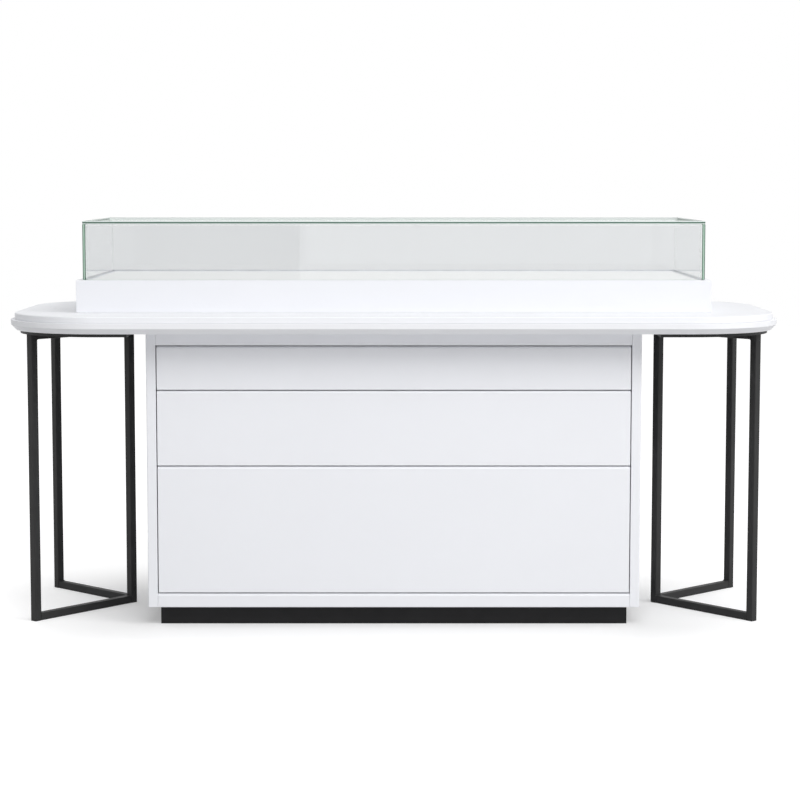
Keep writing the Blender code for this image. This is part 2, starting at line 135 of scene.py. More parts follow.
COUNTER_MIDDLE = (0.0, 0.0, 0.6)
SOFT_BOX = (4.6, 4.6)
# Place, width and height, and aim of each lamp, and whether it shows in shiny surfaces and through the panes.
LAMPS = {
    "right_lamp": ((6.3, -4.5, 6.3), SOFT_BOX, COUNTER_MIDDLE, True),
    "front_lamp": ((0.9, -6.0, 6.6), SOFT_BOX, COUNTER_MIDDLE, True),
    "overhead_lamp": ((0.0, 0.0, 8.0), SOFT_BOX, COUNTER_MIDDLE, False),
    "rear_lamp": ((-5.5, 5.5, 2.6), SOFT_BOX, COUNTER_MIDDLE, False),
    "mirrored_panel": ((0.74, -9.0, 0.685), (2.7, 0.6), (0.74, 0.0, 0.685), True),
}
WHITE = (1.0, 1.0, 1.0, 1.0)
SENSOR_WIDTH = 36.0

FLOAT = "NodeSocketFloat"
WHOLE = "NodeSocketInt"
VECTOR = "NodeSocketVector"
COLOUR = "NodeSocketColor"
MATERIAL = "NodeSocketMaterial"
OBJECT = "NodeSocketObject"
GEOMETRY = "NodeSocketGeometry"


def number(name, description, default, **options):
    """A property for a number."""
    return FloatProperty(name=name, description=description, default=default, **options)


def length(name, description, default):
    """A property for a length in metres."""
    return number(name, description, default, min=0.0, unit="LENGTH", precision=4)


def factor(name, description, default):
    """A property between 0 and 1."""
    return number(name, description, default, min=0.0, max=1.0, subtype="FACTOR")


def power(name, description, default):
    """A property for a lamp's power."""
    return number(name, description, default, min=0.0, subtype="POWER")


def tint(name, description, default):
    """A property for a colour."""
    return FloatVectorProperty(name=name, description=description, default=default, min=0.0, max=1.0,
                               subtype="COLOR")


class BoardFinishes(bpy.types.PropertyGroup):
    """Finishes of the boards and the table top."""

    lacquer: tint("Lacquer", "White lacquer sprayed on the visible boards", (0.84, 0.85, 0.885))
    lacquer_roughness: factor("Lacquer Roughness", "Roughness of the satin lacquer", 0.36)
    peel: length("Orange Peel", "Depth of the ripple that spraying leaves", 0.000006)
    table: tint("Table", "Matt white lacquer of the table top", (0.86, 0.868, 0.895))
    felt: tint("Felt", "White felt of the glide strip under the fascia", (0.86, 0.865, 0.88))
    deck: tint("Deck", "Bright white facing of the tray's deck", (0.95, 0.952, 0.95))
    melamine: tint("Melamine", "Matt white facing of the drawer boxes", (0.76, 0.765, 0.77))
    plinth: tint("Plinth", "Black laminate of the plinth", (0.0085, 0.0085, 0.0094))


class MetalFinishes(bpy.types.PropertyGroup):
    """Finishes of the leg frames, the slides and the screws."""

    powder: tint("Powder Coat", "Black powder coat of the leg frames", (0.028, 0.028, 0.0285))
    powder_roughness: factor("Powder Roughness", "Roughness of the powder coat", 0.52)
    zinc: tint("Zinc", "Zinc plating of the slides and screws", (0.60, 0.61, 0.64))
    ball: tint("Ball", "Polished steel of the bearing balls", (0.72, 0.73, 0.75))


class GlassFinishes(bpy.types.PropertyGroup):
    """Finish and edge work of the panes."""

    pane: tint("Pane", "Tint of the light that goes through a side or top pane", (0.828, 0.838, 0.845))
    # The front and rear panes are lighter and darker copies of the same glass: painted light on what is seen
    # through the front pane, painted shade on the background seen through the rear pane.
    front_pane: tint("Front Pane", "Tint of the light through the front pane", (0.900, 0.910, 0.915))
    rear_pane: tint("Rear Pane", "Tint of the light through the rear pane", (0.745, 0.755, 0.764))
    lamp_light: tint("Lamp Light", "Tint that each face of a pane gives to the lamps' light",
                     (0.996, 0.999, 0.998))
    graze: tint("Graze", "Tint of the background behind a face that is seen at a flat angle",
                (0.985, 0.997, 0.992))
    # The polished edges are drawn opaque. Their green is the glass's own; the lighter and darker bands across
    # it are painted highlight and shade.
    edge_green_painted_shade: tint("Edge Dark", "Deep green of a polished edge", (0.085, 0.155, 0.120))
    edge_green_painted_lit: tint("Edge Light", "Pale green of a polished edge", (0.40, 0.57, 0.455))
    rim_painted_highlight: tint("Rim Light", "Nearly white rims of the top pane's edge", (0.78, 0.86, 0.83))
    seam_painted_highlight: tint("Seam Light", "Pale rims of the front pane and rear edges of the side panes",
                     (0.96, 0.97, 0.97))
    # The pale rear edge of the top pane is painted light.
    rear_edge_painted_light: tint("Rear Light", "Pale rear edge of the top pane", (0.63, 0.67, 0.653))
    arris: length("Arris", "Width of the bevel along a pane's edges", 0.0008)
    corner: length("Corner", "Radius of a pane's corners", 0.0016)
    refraction: number("Refraction", "Index of refraction of the glass", 1.52)


class JoineryDetails(bpy.types.PropertyGroup):
    """Small shapes of the boards, slides, screws and welds."""

    corner_points: IntProperty(name="Corner Points", description="Points round a table corner", default=48)
    slab_chamfer: length("Slab Chamfer", "Chamfer under the lower slab", 0.014)
    slab_easing: length("Slab Easing", "Rounded upper edge of the upper slab", 0.002)
    slab_arris: length("Slab Arris", "Narrow bevel on the other slab edges", 0.0006)
    box_wall: length("Box Wall", "Thickness of a drawer box's walls", 0.012)
    box_floor: length("Box Floor", "Thickness of a drawer box's floor", 0.009)
    board_easing: length("Board Easing", "Rounded edges of the drawer box's boards", 0.0012)
    joint_gap: length("Joint Gap", "Fine line between boards that meet", 0.0002)
    glide_inset: length("Glide Inset", "How far the felt strip stands in from the fascia's faces", 0.0004)
    slide_sheet: length("Slide Sheet", "Thickness of the slides' rolled steel", 0.0012)
    slide_bend: length("Slide Bend", "Bend radius of the slides' rolled steel", 0.0018)
    ball_size: length("Ball Size", "Diameter of a bearing ball", 0.0032)
    ball_pitch: length("Ball Pitch", "Distance between bearing balls", 0.0075)
    cage_length: length("Cage Length", "Length of a row of balls behind a slide's mouth", 0.110)
    screw_head: length("Screw Head", "Diameter of a screw head", 0.0070)
    screw_rise: length("Screw Rise", "Height of a screw head", 0.0022)
    tube: length("Tube", "Width of the square tube of the leg frames", 0.020)
    weld: length("Weld", "Radius of a weld bead", 0.0016)
    weld_pitch: length("Weld Pitch", "Distance between the ripples of a weld bead", 0.0014)


class StageSettings(bpy.types.PropertyGroup):
    """Camera, lamps, floor and sky of the studio."""

    lens: number("Lens", "Focal length in millimetres", 101.25)
    distance: length("Distance", "How far the camera stands from the counter's middle", 6.05)
    eye: length("Eye Height", "Height of the camera", 1.1466)
    pitch: number("Pitch", "How far the camera looks down", math.radians(5.57), subtype="ANGLE")
    shift: number("Shift", "Sideways shift of the picture", 0.00775)
    sky: factor("Sky", "Strength of the sky that lights the counter", 0.45)
    floor: tint("Floor", "Colour of the pale floor", (0.67, 0.67, 0.672))
    # The floor's added white is painted light: least in a box along the plinth's front, where it leaves
    # painted shade, and full farther off.
    floor_lift: factor("Floor Lift", "White added to the floor at the plinth where it is looked at", 0.235)
    far_lift: factor("Far Lift", "White added to the floor far from the counter", 0.67)
    lift_reach: length("Lift Reach", "How far from the plinth the added white is full", 0.70)
    painted_shade_depth: length("Shade Depth", "Depth of the floor's darkest part, from the plinth's front", 0.32)
    floor_radius: length("Floor Radius", "Radius of the round floor", 12.0)
    right_lamp: power("Right Lamp", "Power of the main lamp, high at the right", 400.0)
    front_lamp: power("Front Lamp", "Power of the lamp high in front", 250.0)
    overhead_lamp: power("Overhead Lamp", "Power of the lamp overhead", 16.0)
    rear_lamp: power("Rear Lamp", "Power of the lamp behind at the left", 105.0)
    mirrored_panel: power("Mirrored Panel", "Power of the low panel that the front pane mirrors", 2.9)


class CounterLooks(bpy.types.PropertyGroup):
    """Everything about the looks that a user would change."""

    boards: PointerProperty(type=BoardFinishes)
    metals: PointerProperty(type=MetalFinishes)
    glass: PointerProperty(type=GlassFinishes)
    joinery: PointerProperty(type=JoineryDetails)
    stage: PointerProperty(type=StageSettings)


# Node trees

def feed(tree, node, feeds):
    """Link or set a node's inputs."""
    for name, value in feeds.items():
        if isinstance(value, bpy.types.NodeSocket):
            tree.links.new(value, node.inputs[name])
        else:
            node.inputs[name].default_value = value


def add_node(tree, kind, feeds=None, **settings):
    """Add a node, set its options, then feed its inputs."""
    node = tree.nodes.new(kind)
    for name, value in settings.items():
        setattr(node, name, value)
    feed(tree, node, feeds or {})
    return node


def node_output(tree, kind, feeds=None, **settings):
    """Add a node and give its first output."""
    return add_node(tree, kind, feeds, **settings).outputs[0]


def calculate(tree, operation, *terms):
    """Output of a Math node."""
    return node_output(tree, "ShaderNodeMath", dict(enumerate(terms)), operation=operation)


def calculate_vector(tree, operation, *terms):
    """Vector that a Vector Math node puts out."""
    return node_output(tree, "ShaderNodeVectorMath", dict(enumerate(terms)), operation=operation)


def mix_colours(tree, share, first, second):
    """Colour between two colours."""
    mixed = add_node(tree, "ShaderNodeMix", {"Factor": share, "A": first, "B": second}, data_type="RGBA")
    return mixed.outputs["Result"]


def smooth_step(tree, value, start, end, least=0.0, most=1.0):
    """Number that runs smoothly from its least to its most while the value goes from the start to the end."""
    return node_output(tree, "ShaderNodeMapRange", {
        "Value": value, "From Min": start, "From Max": end, "To Min": least, "To Max": most},
        interpolation_type="SMOOTHSTEP")


def object_place(tree):
    """Object coordinates of the surface."""
    return add_node(tree, "ShaderNodeTexCoord").outputs["Object"]


def new_group(name, kind, inputs, outputs):
    """A node group with these named sockets, with its inputs and its output node."""
    group = bpy.data.node_groups.new(name, kind)
    for label, socket_kind, default in inputs:
        socket = group.interface.new_socket(label, in_out="INPUT", socket_type=socket_kind)
        if default is not None:
            socket.default_value = default
    for label, socket_kind in outputs:
        group.interface.new_socket(label, in_out="OUTPUT", socket_type=socket_kind)
    return group, group.nodes.new("NodeGroupInput").outputs, group.nodes.new("NodeGroupOutput")


def shared_group(name, make):
    """The node group of this name, made the first time that it is asked for."""
    return bpy.data.node_groups.get(name) or make(name)


def make_surface_drift(name):
    """Colour that wanders a little in patches, and roughness that wanders in finer smears."""
    group, given, result = new_group(name, "ShaderNodeTree", [
        ("Vector", VECTOR, None), ("Patch Size", FLOAT, 0.3), ("Colour", COLOUR, None),
        ("Colour Drift", FLOAT, 0.01), ("Roughness", FLOAT, 0.4), ("Roughness Drift", FLOAT, 0.1),
    ], [("Colour", COLOUR), ("Roughness", FLOAT)])
    patch_scale = calculate(group, "DIVIDE", 1.0, given["Patch Size"])
    smear_scale = calculate(group, "MULTIPLY", patch_scale, SMEARS_PER_PATCH)
    patches = node_output(group, "ShaderNodeTexNoise", {
        "Vector": given["Vector"], "Scale": patch_scale, "Detail": 4.0, "Roughness": 0.6})
    smears = node_output(group, "ShaderNodeTexNoise", {
        "Vector": given["Vector"], "Scale": smear_scale, "Detail": 3.0, "Distortion": 0.6})
    shifts = {}
    for label, noise in (("Colour", patches), ("Roughness", smears)):
        drift = given[label + " Drift"]
        shifts[label] = node_output(group, "ShaderNodeMapRange", {
            "Value": noise, "From Min": NOISE_RANGE[0], "From Max": NOISE_RANGE[1],
            "To Min": calculate(group, "SUBTRACT", 1.0, drift),
            "To Max": calculate(group, "ADD", 1.0, drift)})
    toned = node_output(group, "ShaderNodeVectorMath", {0: given["Colour"], "Scale": shifts["Colour"]},
                        operation="SCALE")
    smeared = calculate(group, "MULTIPLY", given["Roughness"], shifts["Roughness"])
    feed(group, result, {"Colour": toned, "Roughness": smeared})
    return group


def make_fine_relief(name):
    """Height of a fine rounded grain, such as orange peel, powder or pebbled melamine."""
    group, given, result = new_group(name, "ShaderNodeTree", [
        ("Vector", VECTOR, None), ("Grain Size", FLOAT, 0.002), ("Detail", FLOAT, 1.0),
    ], [("Height", FLOAT)])
    scale = calculate(group, "DIVIDE", 1.0, given["Grain Size"])
    grain = node_output(group, "ShaderNodeTexNoise", {
        "Vector": given["Vector"], "Scale": scale, "Detail": given["Detail"], "Roughness": 0.5})
    feed(group, result, {"Height": grain})
    return group


def new_material(name):
    """A material with its node tree and its Principled shader."""
    material = bpy.data.materials.new(name)
    material.use_nodes = True
    return material, material.node_tree, material.node_tree.nodes["Principled BSDF"]


def surface_drift(tree, place, colour, roughness, patch, drifts):
    """Colour and roughness that drift by these two shares, over patches of this size."""
    return add_node(tree, "ShaderNodeGroup", {
        "Vector": place, "Patch Size": patch, "Colour": (*colour, 1.0), "Colour Drift": drifts[0],
        "Roughness": roughness, "Roughness Drift": drifts[1],
    }, node_tree=shared_group("Surface Drift", make_surface_drift)).outputs


def surface_finish(name, colour, roughness, patch, drifts, grain, depth, stretch=None, plain=None):
    """A material whose colour and roughness drift, with a relief of fine grain and plain shader values."""
    if name in bpy.data.materials:
        return bpy.data.materials[name]
    material, tree, shader = new_material(name)
    place = object_place(tree)
    if stretch:
        place = node_output(tree, "ShaderNodeMapping", {"Vector": place, "Scale": stretch})
    drift = surface_drift(tree, place, colour, roughness, patch, drifts)
    height = node_output(tree, "ShaderNodeGroup", {"Vector": place, "Grain Size": grain},
                         node_tree=shared_group("Fine Relief", make_fine_relief))
    bump = node_output(tree, "ShaderNodeBump", {"Height": height, "Distance": depth})
    feed(tree, shader, {"Base Color": drift["Colour"], "Roughness": drift["Roughness"], "Normal": bump})
    feed(tree, shader, plain or {})
    return material


def white_lacquer(looks):
    """Satin white lacquer with a trace of orange peel."""
    boards = looks.boards
    return surface_finish("white_lacquer_satin", boards.lacquer, boards.lacquer_roughness, patch=0.45,
                          drifts=(0.008, 0.10), grain=0.0030, depth=boards.peel,
                          plain={"Coat Weight": 0.12, "Coat Roughness": 0.22})


def table_lacquer(looks):
    """Matt white lacquer of the table top, with a trace of orange peel."""
    return surface_finish("white_lacquer_matt", looks.boards.table, roughness=0.52, patch=0.45,
                          drifts=(0.008, 0.10), grain=0.0030, depth=looks.boards.peel,
                          plain={"Specular IOR Level": 0.06})


def white_felt(looks):
    """Pressed white felt with a fibrous face."""
    return surface_finish("white_felt_pressed", looks.boards.felt, roughness=0.92, patch=0.010,
                          drifts=(0.03, 0.05), grain=0.0007, depth=0.00015,
                          plain={"Specular IOR Level": 0.1})


def white_deck(looks):
    """Bright white laminate of the tray's deck, with a fine matt grain."""
    return surface_finish("white_deck_laminate", looks.boards.deck, roughness=0.60, patch=0.30,
                          drifts=(0.006, 0.10), grain=0.0012, depth=0.00002,
                          plain={"Specular IOR Level": 0.22})


def white_melamine(looks):
    """Matt white melamine with a pebbled face."""
    return surface_finish("white_melamine_matt", looks.boards.melamine, roughness=0.58, patch=0.20,
                          drifts=(0.015, 0.08), grain=0.0009, depth=0.00003)


def black_laminate(looks):
    """Matt black laminate of the plinth, faintly smeared."""
    return surface_finish("black_laminate_matt", looks.boards.plinth, roughness=0.52, patch=0.12,
                          drifts=(0.20, 0.14), grain=0.0007, depth=0.00002,
                          plain={"Specular IOR Level": 0.22})


def black_powder_coat(looks):
    """Black powder coat with its fine pebbled skin."""
    metals = looks.metals
    return surface_finish("black_powder_coat", metals.powder, metals.powder_roughness, patch=0.10,
                          drifts=(0.16, 0.12), grain=0.0006, depth=0.00004,
                          plain={"Specular IOR Level": 0.18})


def zinc_plate(looks):
    """Zinc-plated rolled steel, drawn along the slide."""
    return surface_finish("zinc_plate_drawn", looks.metals.zinc, roughness=0.34, patch=0.03,
                          drifts=(0.10, 0.28), grain=0.0016, depth=0.00002, stretch=(1.0, 0.04, 1.0),
                          plain={"Metallic": 1.0})


def ball_steel(looks):
    """Polished bearing steel."""
    return surface_finish("ball_steel_polished", looks.metals.ball, roughness=0.12, patch=0.002,
                          drifts=(0.05, 0.20), grain=0.0004, depth=0.000002, plain={"Metallic": 1.0})


def clear_glass(looks, name, colour):
    """Clear float glass, faintly wiped, that lets the lamps' light straight through."""
    if name in bpy.data.materials:
        return bpy.data.materials[name]
    glass = looks.glass
    material, tree, shader = new_material(name)
    wiped = surface_drift(tree, object_place(tree), colour, roughness=0.006, patch=0.25, drifts=(0.006, 0.8))
    feed(tree, shader, {"Base Color": wiped["Colour"], "Roughness": wiped["Roughness"],
                        "Transmission Weight": 1.0, "IOR": glass.refraction})
    # A face that is seen at a flat angle is mostly plain see-through.
    facing = add_node(tree, "ShaderNodeLayerWeight").outputs["Facing"]
    flat = smooth_step(tree, facing, *FLAT_VIEW, most=FLAT_VIEW_SHARE)
    behind = node_output(tree, "ShaderNodeBsdfTransparent", {"Color": (*glass.graze, 1.0)})
    pane = node_output(tree, "ShaderNodeMixShader", {0: flat, 1: shader.outputs[0], 2: behind})
    # Light from the lamps and between matt surfaces is only tinted.
    path = add_node(tree, "ShaderNodeLightPath").outputs
    passing = calculate(tree, "MAXIMUM", path["Is Shadow Ray"], path["Is Diffuse Ray"])
    through = node_output(tree, "ShaderNodeBsdfTransparent", {"Color": (*glass.lamp_light, 1.0)})
    mixed = node_output(tree, "ShaderNodeMixShader", {0: passing, 1: pane, 2: through})
    feed(tree, tree.nodes["Material Output"], {"Surface": mixed})
    return material


def glass_edge(name, middle, rim, band, rear=None):
    """Polished glass edge with one tone in its middle, one on its arrises and one, if given, at the rear. The
    tones are painted highlight and shade on the glass's own green.
    """
    if name in bpy.data.materials:
        return bpy.data.materials[name]
    material, tree, shader = new_material(name)
    across = add_node(tree, "ShaderNodeAttribute", attribute_name="edge_factor").outputs["Fac"]
    off_middle = calculate(tree, "ABSOLUTE", calculate(tree, "SUBTRACT", across, 0.5))
    # The rims take the rim tone: a painted highlight on the top and front panes, painted shade on the side
    # panes.
    painted_rim_share = smooth_step(tree, off_middle, *band)
    tone = mix_colours(tree, painted_rim_share, (*middle, 1.0), (*rim, 1.0))
    # Edges behind the rear pane's front face take the rear tone: painted light.
    if rear:
        depth = add_node(tree, "ShaderNodeSeparateXYZ", {0: object_place(tree)}).outputs["Y"]
        behind = calculate(tree, "GREATER_THAN", depth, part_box("glass_rear")[0].y)
        tone = mix_colours(tree, behind, tone, (*rear, 1.0))
    feed(tree, shader, {"Base Color": tone, "Roughness": EDGE_ROUGHNESS})
    return material


# Geometry trees

def make_edged_sheet(name):
    """A flat sheet with round corners and a bevel along both rims, lying on local Z 0."""
    tree, given, result = new_group(name, "GeometryNodeTree", [
        ("Width", FLOAT, 1.0), ("Height", FLOAT, 0.5), ("Thickness", FLOAT, 0.02),
        ("Corner Radius", FLOAT, 0.1), ("Corner Points", WHOLE, 16), ("Upper Bevel", FLOAT, 0.002),
        ("Lower Bevel", FLOAT, 0.002), ("Rounding", FLOAT, 0.0), ("Face Finish", MATERIAL, None),
        ("Edge Finish", MATERIAL, None),
    ], [("Geometry", GEOMETRY)])
    thickness = given["Thickness"]
    outline = node_output(tree, "GeometryNodeCurvePrimitiveQuadrilateral", {
        "Width": given["Width"], "Height": given["Height"]})
    outline = node_output(tree, "GeometryNodeFilletCurve", {
        "Curve": outline, "Radius": given["Corner Radius"], "Count": given["Corner Points"]}, mode="POLY")
    outline = node_output(tree, "GeometryNodeSetCurveNormal", {"Curve": outline}, mode="Z_UP")
    rim = node_output(tree, "GeometryNodeCurveToMesh", {
        "Curve": outline, "Profile Curve": rim_profile(tree, given), "Fill Caps": False})

    place = node_output(tree, "GeometryNodeInputPosition")
    height = add_node(tree, "ShaderNodeSeparateXYZ", {0: place}).outputs["Z"]
    middle = calculate(tree, "MULTIPLY", thickness, 0.5)
    # An edge of the rim with one face and not two is open.
    face_count = node_output(tree, "GeometryNodeInputMeshEdgeNeighbors")
    is_open = node_output(tree, "FunctionNodeCompare", {0: face_count, 1: 1.5}, operation="LESS_THAN")
    faces = []
    for operation, level in (("GREATER_THAN", thickness), ("LESS_THAN", 0.0)):
        half = node_output(tree, "FunctionNodeCompare", {0: height, 1: middle}, operation=operation)
        loop = node_output(tree, "FunctionNodeBooleanMath", {0: is_open, 1: half}, operation="AND")
        loop = node_output(tree, "GeometryNodeMeshToCurve", {"Mesh": rim, "Selection": loop})
        face = node_output(tree, "GeometryNodeFillCurve", {"Curve": loop}, mode="NGONS")
        lift = node_output(tree, "ShaderNodeCombineXYZ", {"Z": level})
        faces.append(node_output(tree, "GeometryNodeTransform", {0: face, "Translation": lift}))
    upper_face, lower_face = faces
    lower_face = node_output(tree, "GeometryNodeFlipFaces", {0: lower_face})
    rim = node_output(tree, "GeometryNodeStoreNamedAttribute", {
        "Geometry": rim, "Name": "on_edge", "Value": True}, data_type="BOOLEAN", domain="FACE")
    join = add_node(tree, "GeometryNodeJoinGeometry")
    for part in (lower_face, upper_face, rim):
        tree.links.new(part, join.inputs[0])
    whole = node_output(tree, "GeometryNodeMergeByDistance", {
        "Geometry": join.outputs[0], "Distance": MERGE_DISTANCE})
    whole = finish_shading(tree, whole)
    whole = node_output(tree, "GeometryNodeRealizeInstances", {0: whole})
    whole = node_output(tree, "GeometryNodeSetMaterial", {0: whole, "Material": given["Face Finish"]})
    on_edge = node_output(tree, "GeometryNodeInputNamedAttribute", {"Name": "on_edge"}, data_type="BOOLEAN")
    whole = node_output(tree, "GeometryNodeSetMaterial", {
        0: whole, "Selection": on_edge, "Material": given["Edge Finish"]})
    feed(tree, result, {0: whole})
    return tree


def rim_profile(tree, given):
    """Open profile of a sheet's rim from its upper to its lower face, whose points keep their share of it."""
    thickness = given["Thickness"]
    upper = given["Upper Bevel"]
    lower = given["Lower Bevel"]
    corners = (
        (calculate(tree, "MULTIPLY", upper, -1.0), thickness),
        (0.0, calculate(tree, "SUBTRACT", thickness, upper)),
        (0.0, lower),
        (calculate(tree, "MULTIPLY", lower, -1.0), 0.0),
    )
    quadrilateral = add_node(tree, "GeometryNodeCurvePrimitiveQuadrilateral", mode="POINTS")
    for index, (outward, up) in enumerate(corners, 1):
        # The sweep turns the profile's Y downwards.
        down = calculate(tree, "MULTIPLY", up, -1.0)
        point = node_output(tree, "ShaderNodeCombineXYZ", {"X": outward, "Y": down})
        feed(tree, quadrilateral, {"Point %d" % index: point})
    profile = node_output(tree, "GeometryNodeSetSplineCyclic", {
        "Geometry": quadrilateral.outputs[0], "Cyclic": False})
    profile = node_output(tree, "GeometryNodeFilletCurve", {
        "Curve": profile, "Radius": given["Rounding"], "Limit Radius": True, "Count": ROUNDING_POINTS},
        mode="POLY")
    along = add_node(tree, "GeometryNodeSplineParameter").outputs["Factor"]
    return node_output(tree, "GeometryNodeStoreNamedAttribute", {
        "Geometry": profile, "Name": "edge_factor", "Value": along})


def finish_shading(tree, geometry):
    """Shade smooth, but keep the edges of a sheet sharp where its faces turn."""
    smooth = node_output(tree, "GeometryNodeSetShadeSmooth", {"Geometry": geometry, "Shade Smooth": True})
    angle = add_node(tree, "GeometryNodeInputMeshEdgeAngle").outputs["Unsigned Angle"]
    sharp = node_output(tree, "FunctionNodeCompare", {0: angle, 1: SHEET_SHARP}, operation="GREATER_THAN")
    return node_output(tree, "GeometryNodeSetShadeSmooth", {
        "Geometry": smooth, "Selection": sharp, "Shade Smooth": False}, domain="EDGE")


def make_beads_on_lines(name):
    """Round beads at an even pitch along the edges of a wire mesh, turned to the way they follow."""
    tree, given, result = new_group(name, "GeometryNodeTree", [
        ("Lines", GEOMETRY, None), ("Pitch", FLOAT, 0.01), ("Radius", FLOAT, 0.002),
        ("Stretch", VECTOR, (1.0, 1.0, 1.0)), ("Finish", MATERIAL, None),
    ], [("Geometry", GEOMETRY)])
    lines = node_output(tree, "GeometryNodeMeshToCurve", {"Mesh": given["Lines"]})
    points = add_node(tree, "GeometryNodeCurveToPoints", {"Curve": lines, "Length": given["Pitch"]},
                      mode="LENGTH").outputs
    bead = node_output(tree, "GeometryNodeMeshIcoSphere", {"Radius": given["Radius"], "Subdivisions": 2})
    turn = node_output(tree, "FunctionNodeAlignRotationToVector", {"Vector": points["Tangent"]}, axis="Z")
    beads = node_output(tree, "GeometryNodeInstanceOnPoints", {
        "Points": points[0], "Instance": bead, "Rotation": turn, "Scale": given["Stretch"]})
    beads = node_output(tree, "GeometryNodeRealizeInstances", {0: beads})
    beads = node_output(tree, "GeometryNodeSetShadeSmooth", {"Geometry": beads})
    beads = node_output(tree, "GeometryNodeSetMaterial", {0: beads, "Material": given["Finish"]})
    feed(tree, result, {0: beads})
    return tree


def make_screws_on_points(name):
    """A screw head on every point of a mesh, all standing along one axis."""
    tree, given, result = new_group(name, "GeometryNodeTree", [
        ("Points", GEOMETRY, None), ("Head", OBJECT, None), ("Axis", VECTOR, (0.0, 0.0, 1.0)),
        ("Finish", MATERIAL, None),
    ], [("Geometry", GEOMETRY)])
    head = add_node(tree, "GeometryNodeObjectInfo", {"Object": given["Head"]}).outputs["Geometry"]
    turn = node_output(tree, "FunctionNodeAlignRotationToVector", {"Vector": given["Axis"]}, axis="Z")
    heads = node_output(tree, "GeometryNodeInstanceOnPoints", {
        "Points": given["Points"], "Instance": head, "Rotation": turn})
    heads = node_output(tree, "GeometryNodeRealizeInstances", {0: heads})
    heads = node_output(tree, "GeometryNodeSetMaterial", {0: heads, "Material": given["Finish"]})
    feed(tree, result, {0: heads})
    return tree


def grow_mesh(name, start, tree, values):
    """Plain mesh that a geometry tree makes out of a starting mesh."""
    source = bpy.data.objects.new(name + "_source", start)
    bpy.context.scene.collection.objects.link(source)
    modifier = source.modifiers.new("shape", "NODES")
    modifier.node_group = tree
    for socket in tree.interface.items_tree:
        if socket.item_type == "SOCKET" and socket.in_out == "INPUT" and socket.name in values:
            modifier[socket.identifier] = values[socket.name]
    bpy.context.view_layer.update()
    shaped = source.evaluated_get(bpy.context.evaluated_depsgraph_get())
    mesh = bpy.data.meshes.new_from_object(shaped)
    mesh.name = name
    source.modifiers.remove(modifier)
    bpy.data.objects.remove(source)
    bpy.data.meshes.remove(start)
    return mesh


# Meshes and pieces

def body_of(node):
    """Name of the body that a node belongs to."""
    return frame["nodes"][node]["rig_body"]


def slot_of(node):
    """Name of the material slot that a node has in the record."""
    for row in frame["record"]["subparts"]:
        if row["node"] == node:
            return row["material_slot"]
    raise ValueError("the record has no slot for " + node)


def add_piece(name, mesh, body, slot, *stood_for):
    """Put a finished mesh in the scene on a body, in place of the nodes that it stands for."""
    piece = bpy.data.objects.new(name, mesh)
    bpy.context.scene.collection.objects.link(piece)
    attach(piece, body)
    if stood_for:
        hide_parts(*stood_for)


def stand_in(mesh, node):
    """Put a finished mesh in the scene in place of one node, on its body."""
    add_piece(mesh.name, mesh, body_of(node), slot_of(node), node)


def dress(node, material):
    """Give a node of the frame its finish."""
    slots = frame["nodes"][node].data.materials
    slots.clear()
    slots.append(material)


def plain_mesh(name, shape, sharp=None):
    """Mesh of a finished bmesh, shaded smooth if there is an angle from which its edges are sharp."""
    mesh = bpy.data.meshes.new(name)
    shape.to_mesh(mesh)
    shape.free()
    if sharp:
        mesh.shade_smooth()
        mesh.set_sharp_from_angle(angle=sharp)
    return mesh


def sheet_mesh(name, size, materials, values):
    """An edged sheet of this width, height and thickness about its own middle."""
    width, height, thickness = size
    face, edge = materials
    start = bpy.data.meshes.new(name + "_start")
    mesh = grow_mesh(name, start, shared_group("Edged Sheet", make_edged_sheet), {
        "Width": width, "Height": height, "Thickness": thickness, "Face Finish": face, "Edge Finish": edge,
        **values})
    mesh.transform(Matrix.Translation((0.0, 0.0, -thickness / 2)))
    return mesh


def points_mesh(name, points, edges=()):
    """A mesh of loose points and wires."""
    mesh = bpy.data.meshes.new(name)
    mesh.from_pydata([tuple(point) for point in points], list(edges), [])
    return mesh


def boards_mesh(name, boxes, easing):
    """One mesh of several boards, each a box with rounded edges."""
    shape = bmesh.new()
    for low, high in boxes:
        size = Vector(high) - Vector(low)
        place = Matrix.Translation((Vector(high) + Vector(low)) / 2) @ Matrix.Diagonal((*size, 1.0))
        made = bmesh.ops.create_cube(shape, size=1.0, matrix=place)
        edges = {edge for vert in made["verts"] for edge in vert.link_edges}
        bmesh.ops.bevel(shape, geom=list(edges), offset=easing, segments=3, profile=0.5, affect="EDGES")
    return plain_mesh(name, shape)


def rounded_path(corners, radius, steps=4):
    """A path through these corners with each inner corner rounded off."""
    path = [Vector(corners[0])]
    for before, corner, after in zip(corners, corners[1:], corners[2:]):
        corner = Vector(corner)
        start = corner + (Vector(before) - corner).normalized() * radius
        end = corner + (Vector(after) - corner).normalized() * radius
        for step in range(steps + 1):
            share = step / steps
            path.append(start * (1 - share) ** 2 + corner * 2 * share * (1 - share) + end * share ** 2)
    path.append(Vector(corners[-1]))
    return path


def rolled_sheet_mesh(name, path, sheet, run):
    """A sheet-metal section along a path in X and Z, drawn out along Y from run[0] to run[1]."""
    sides = ([], [])
    for index, point in enumerate(path):
        way = path[min(index + 1, len(path) - 1)] - path[max(index - 1, 0)]
        across = Vector((-way.y, way.x)).normalized() * sheet / 2
        sides[0].append(point + across)
        sides[1].append(point - across)
    outline = sides[0] + sides[1][::-1]
    shape = bmesh.new()
    rims = [[shape.verts.new((point.x, along, point.y)) for point in outline] for along in run]
    count = len(outline)
    for index in range(count):
        after = (index + 1) % count
        shape.faces.new((rims[0][index], rims[0][after], rims[1][after], rims[1][index]))
    for rim in rims:
        for index in range(len(path) - 1):
            shape.faces.new((rim[index], rim[index + 1], rim[count - 2 - index], rim[count - 1 - index]))
    bmesh.ops.recalc_face_normals(shape, faces=shape.faces)
    return plain_mesh(name, shape, CHANNEL_SHARP)


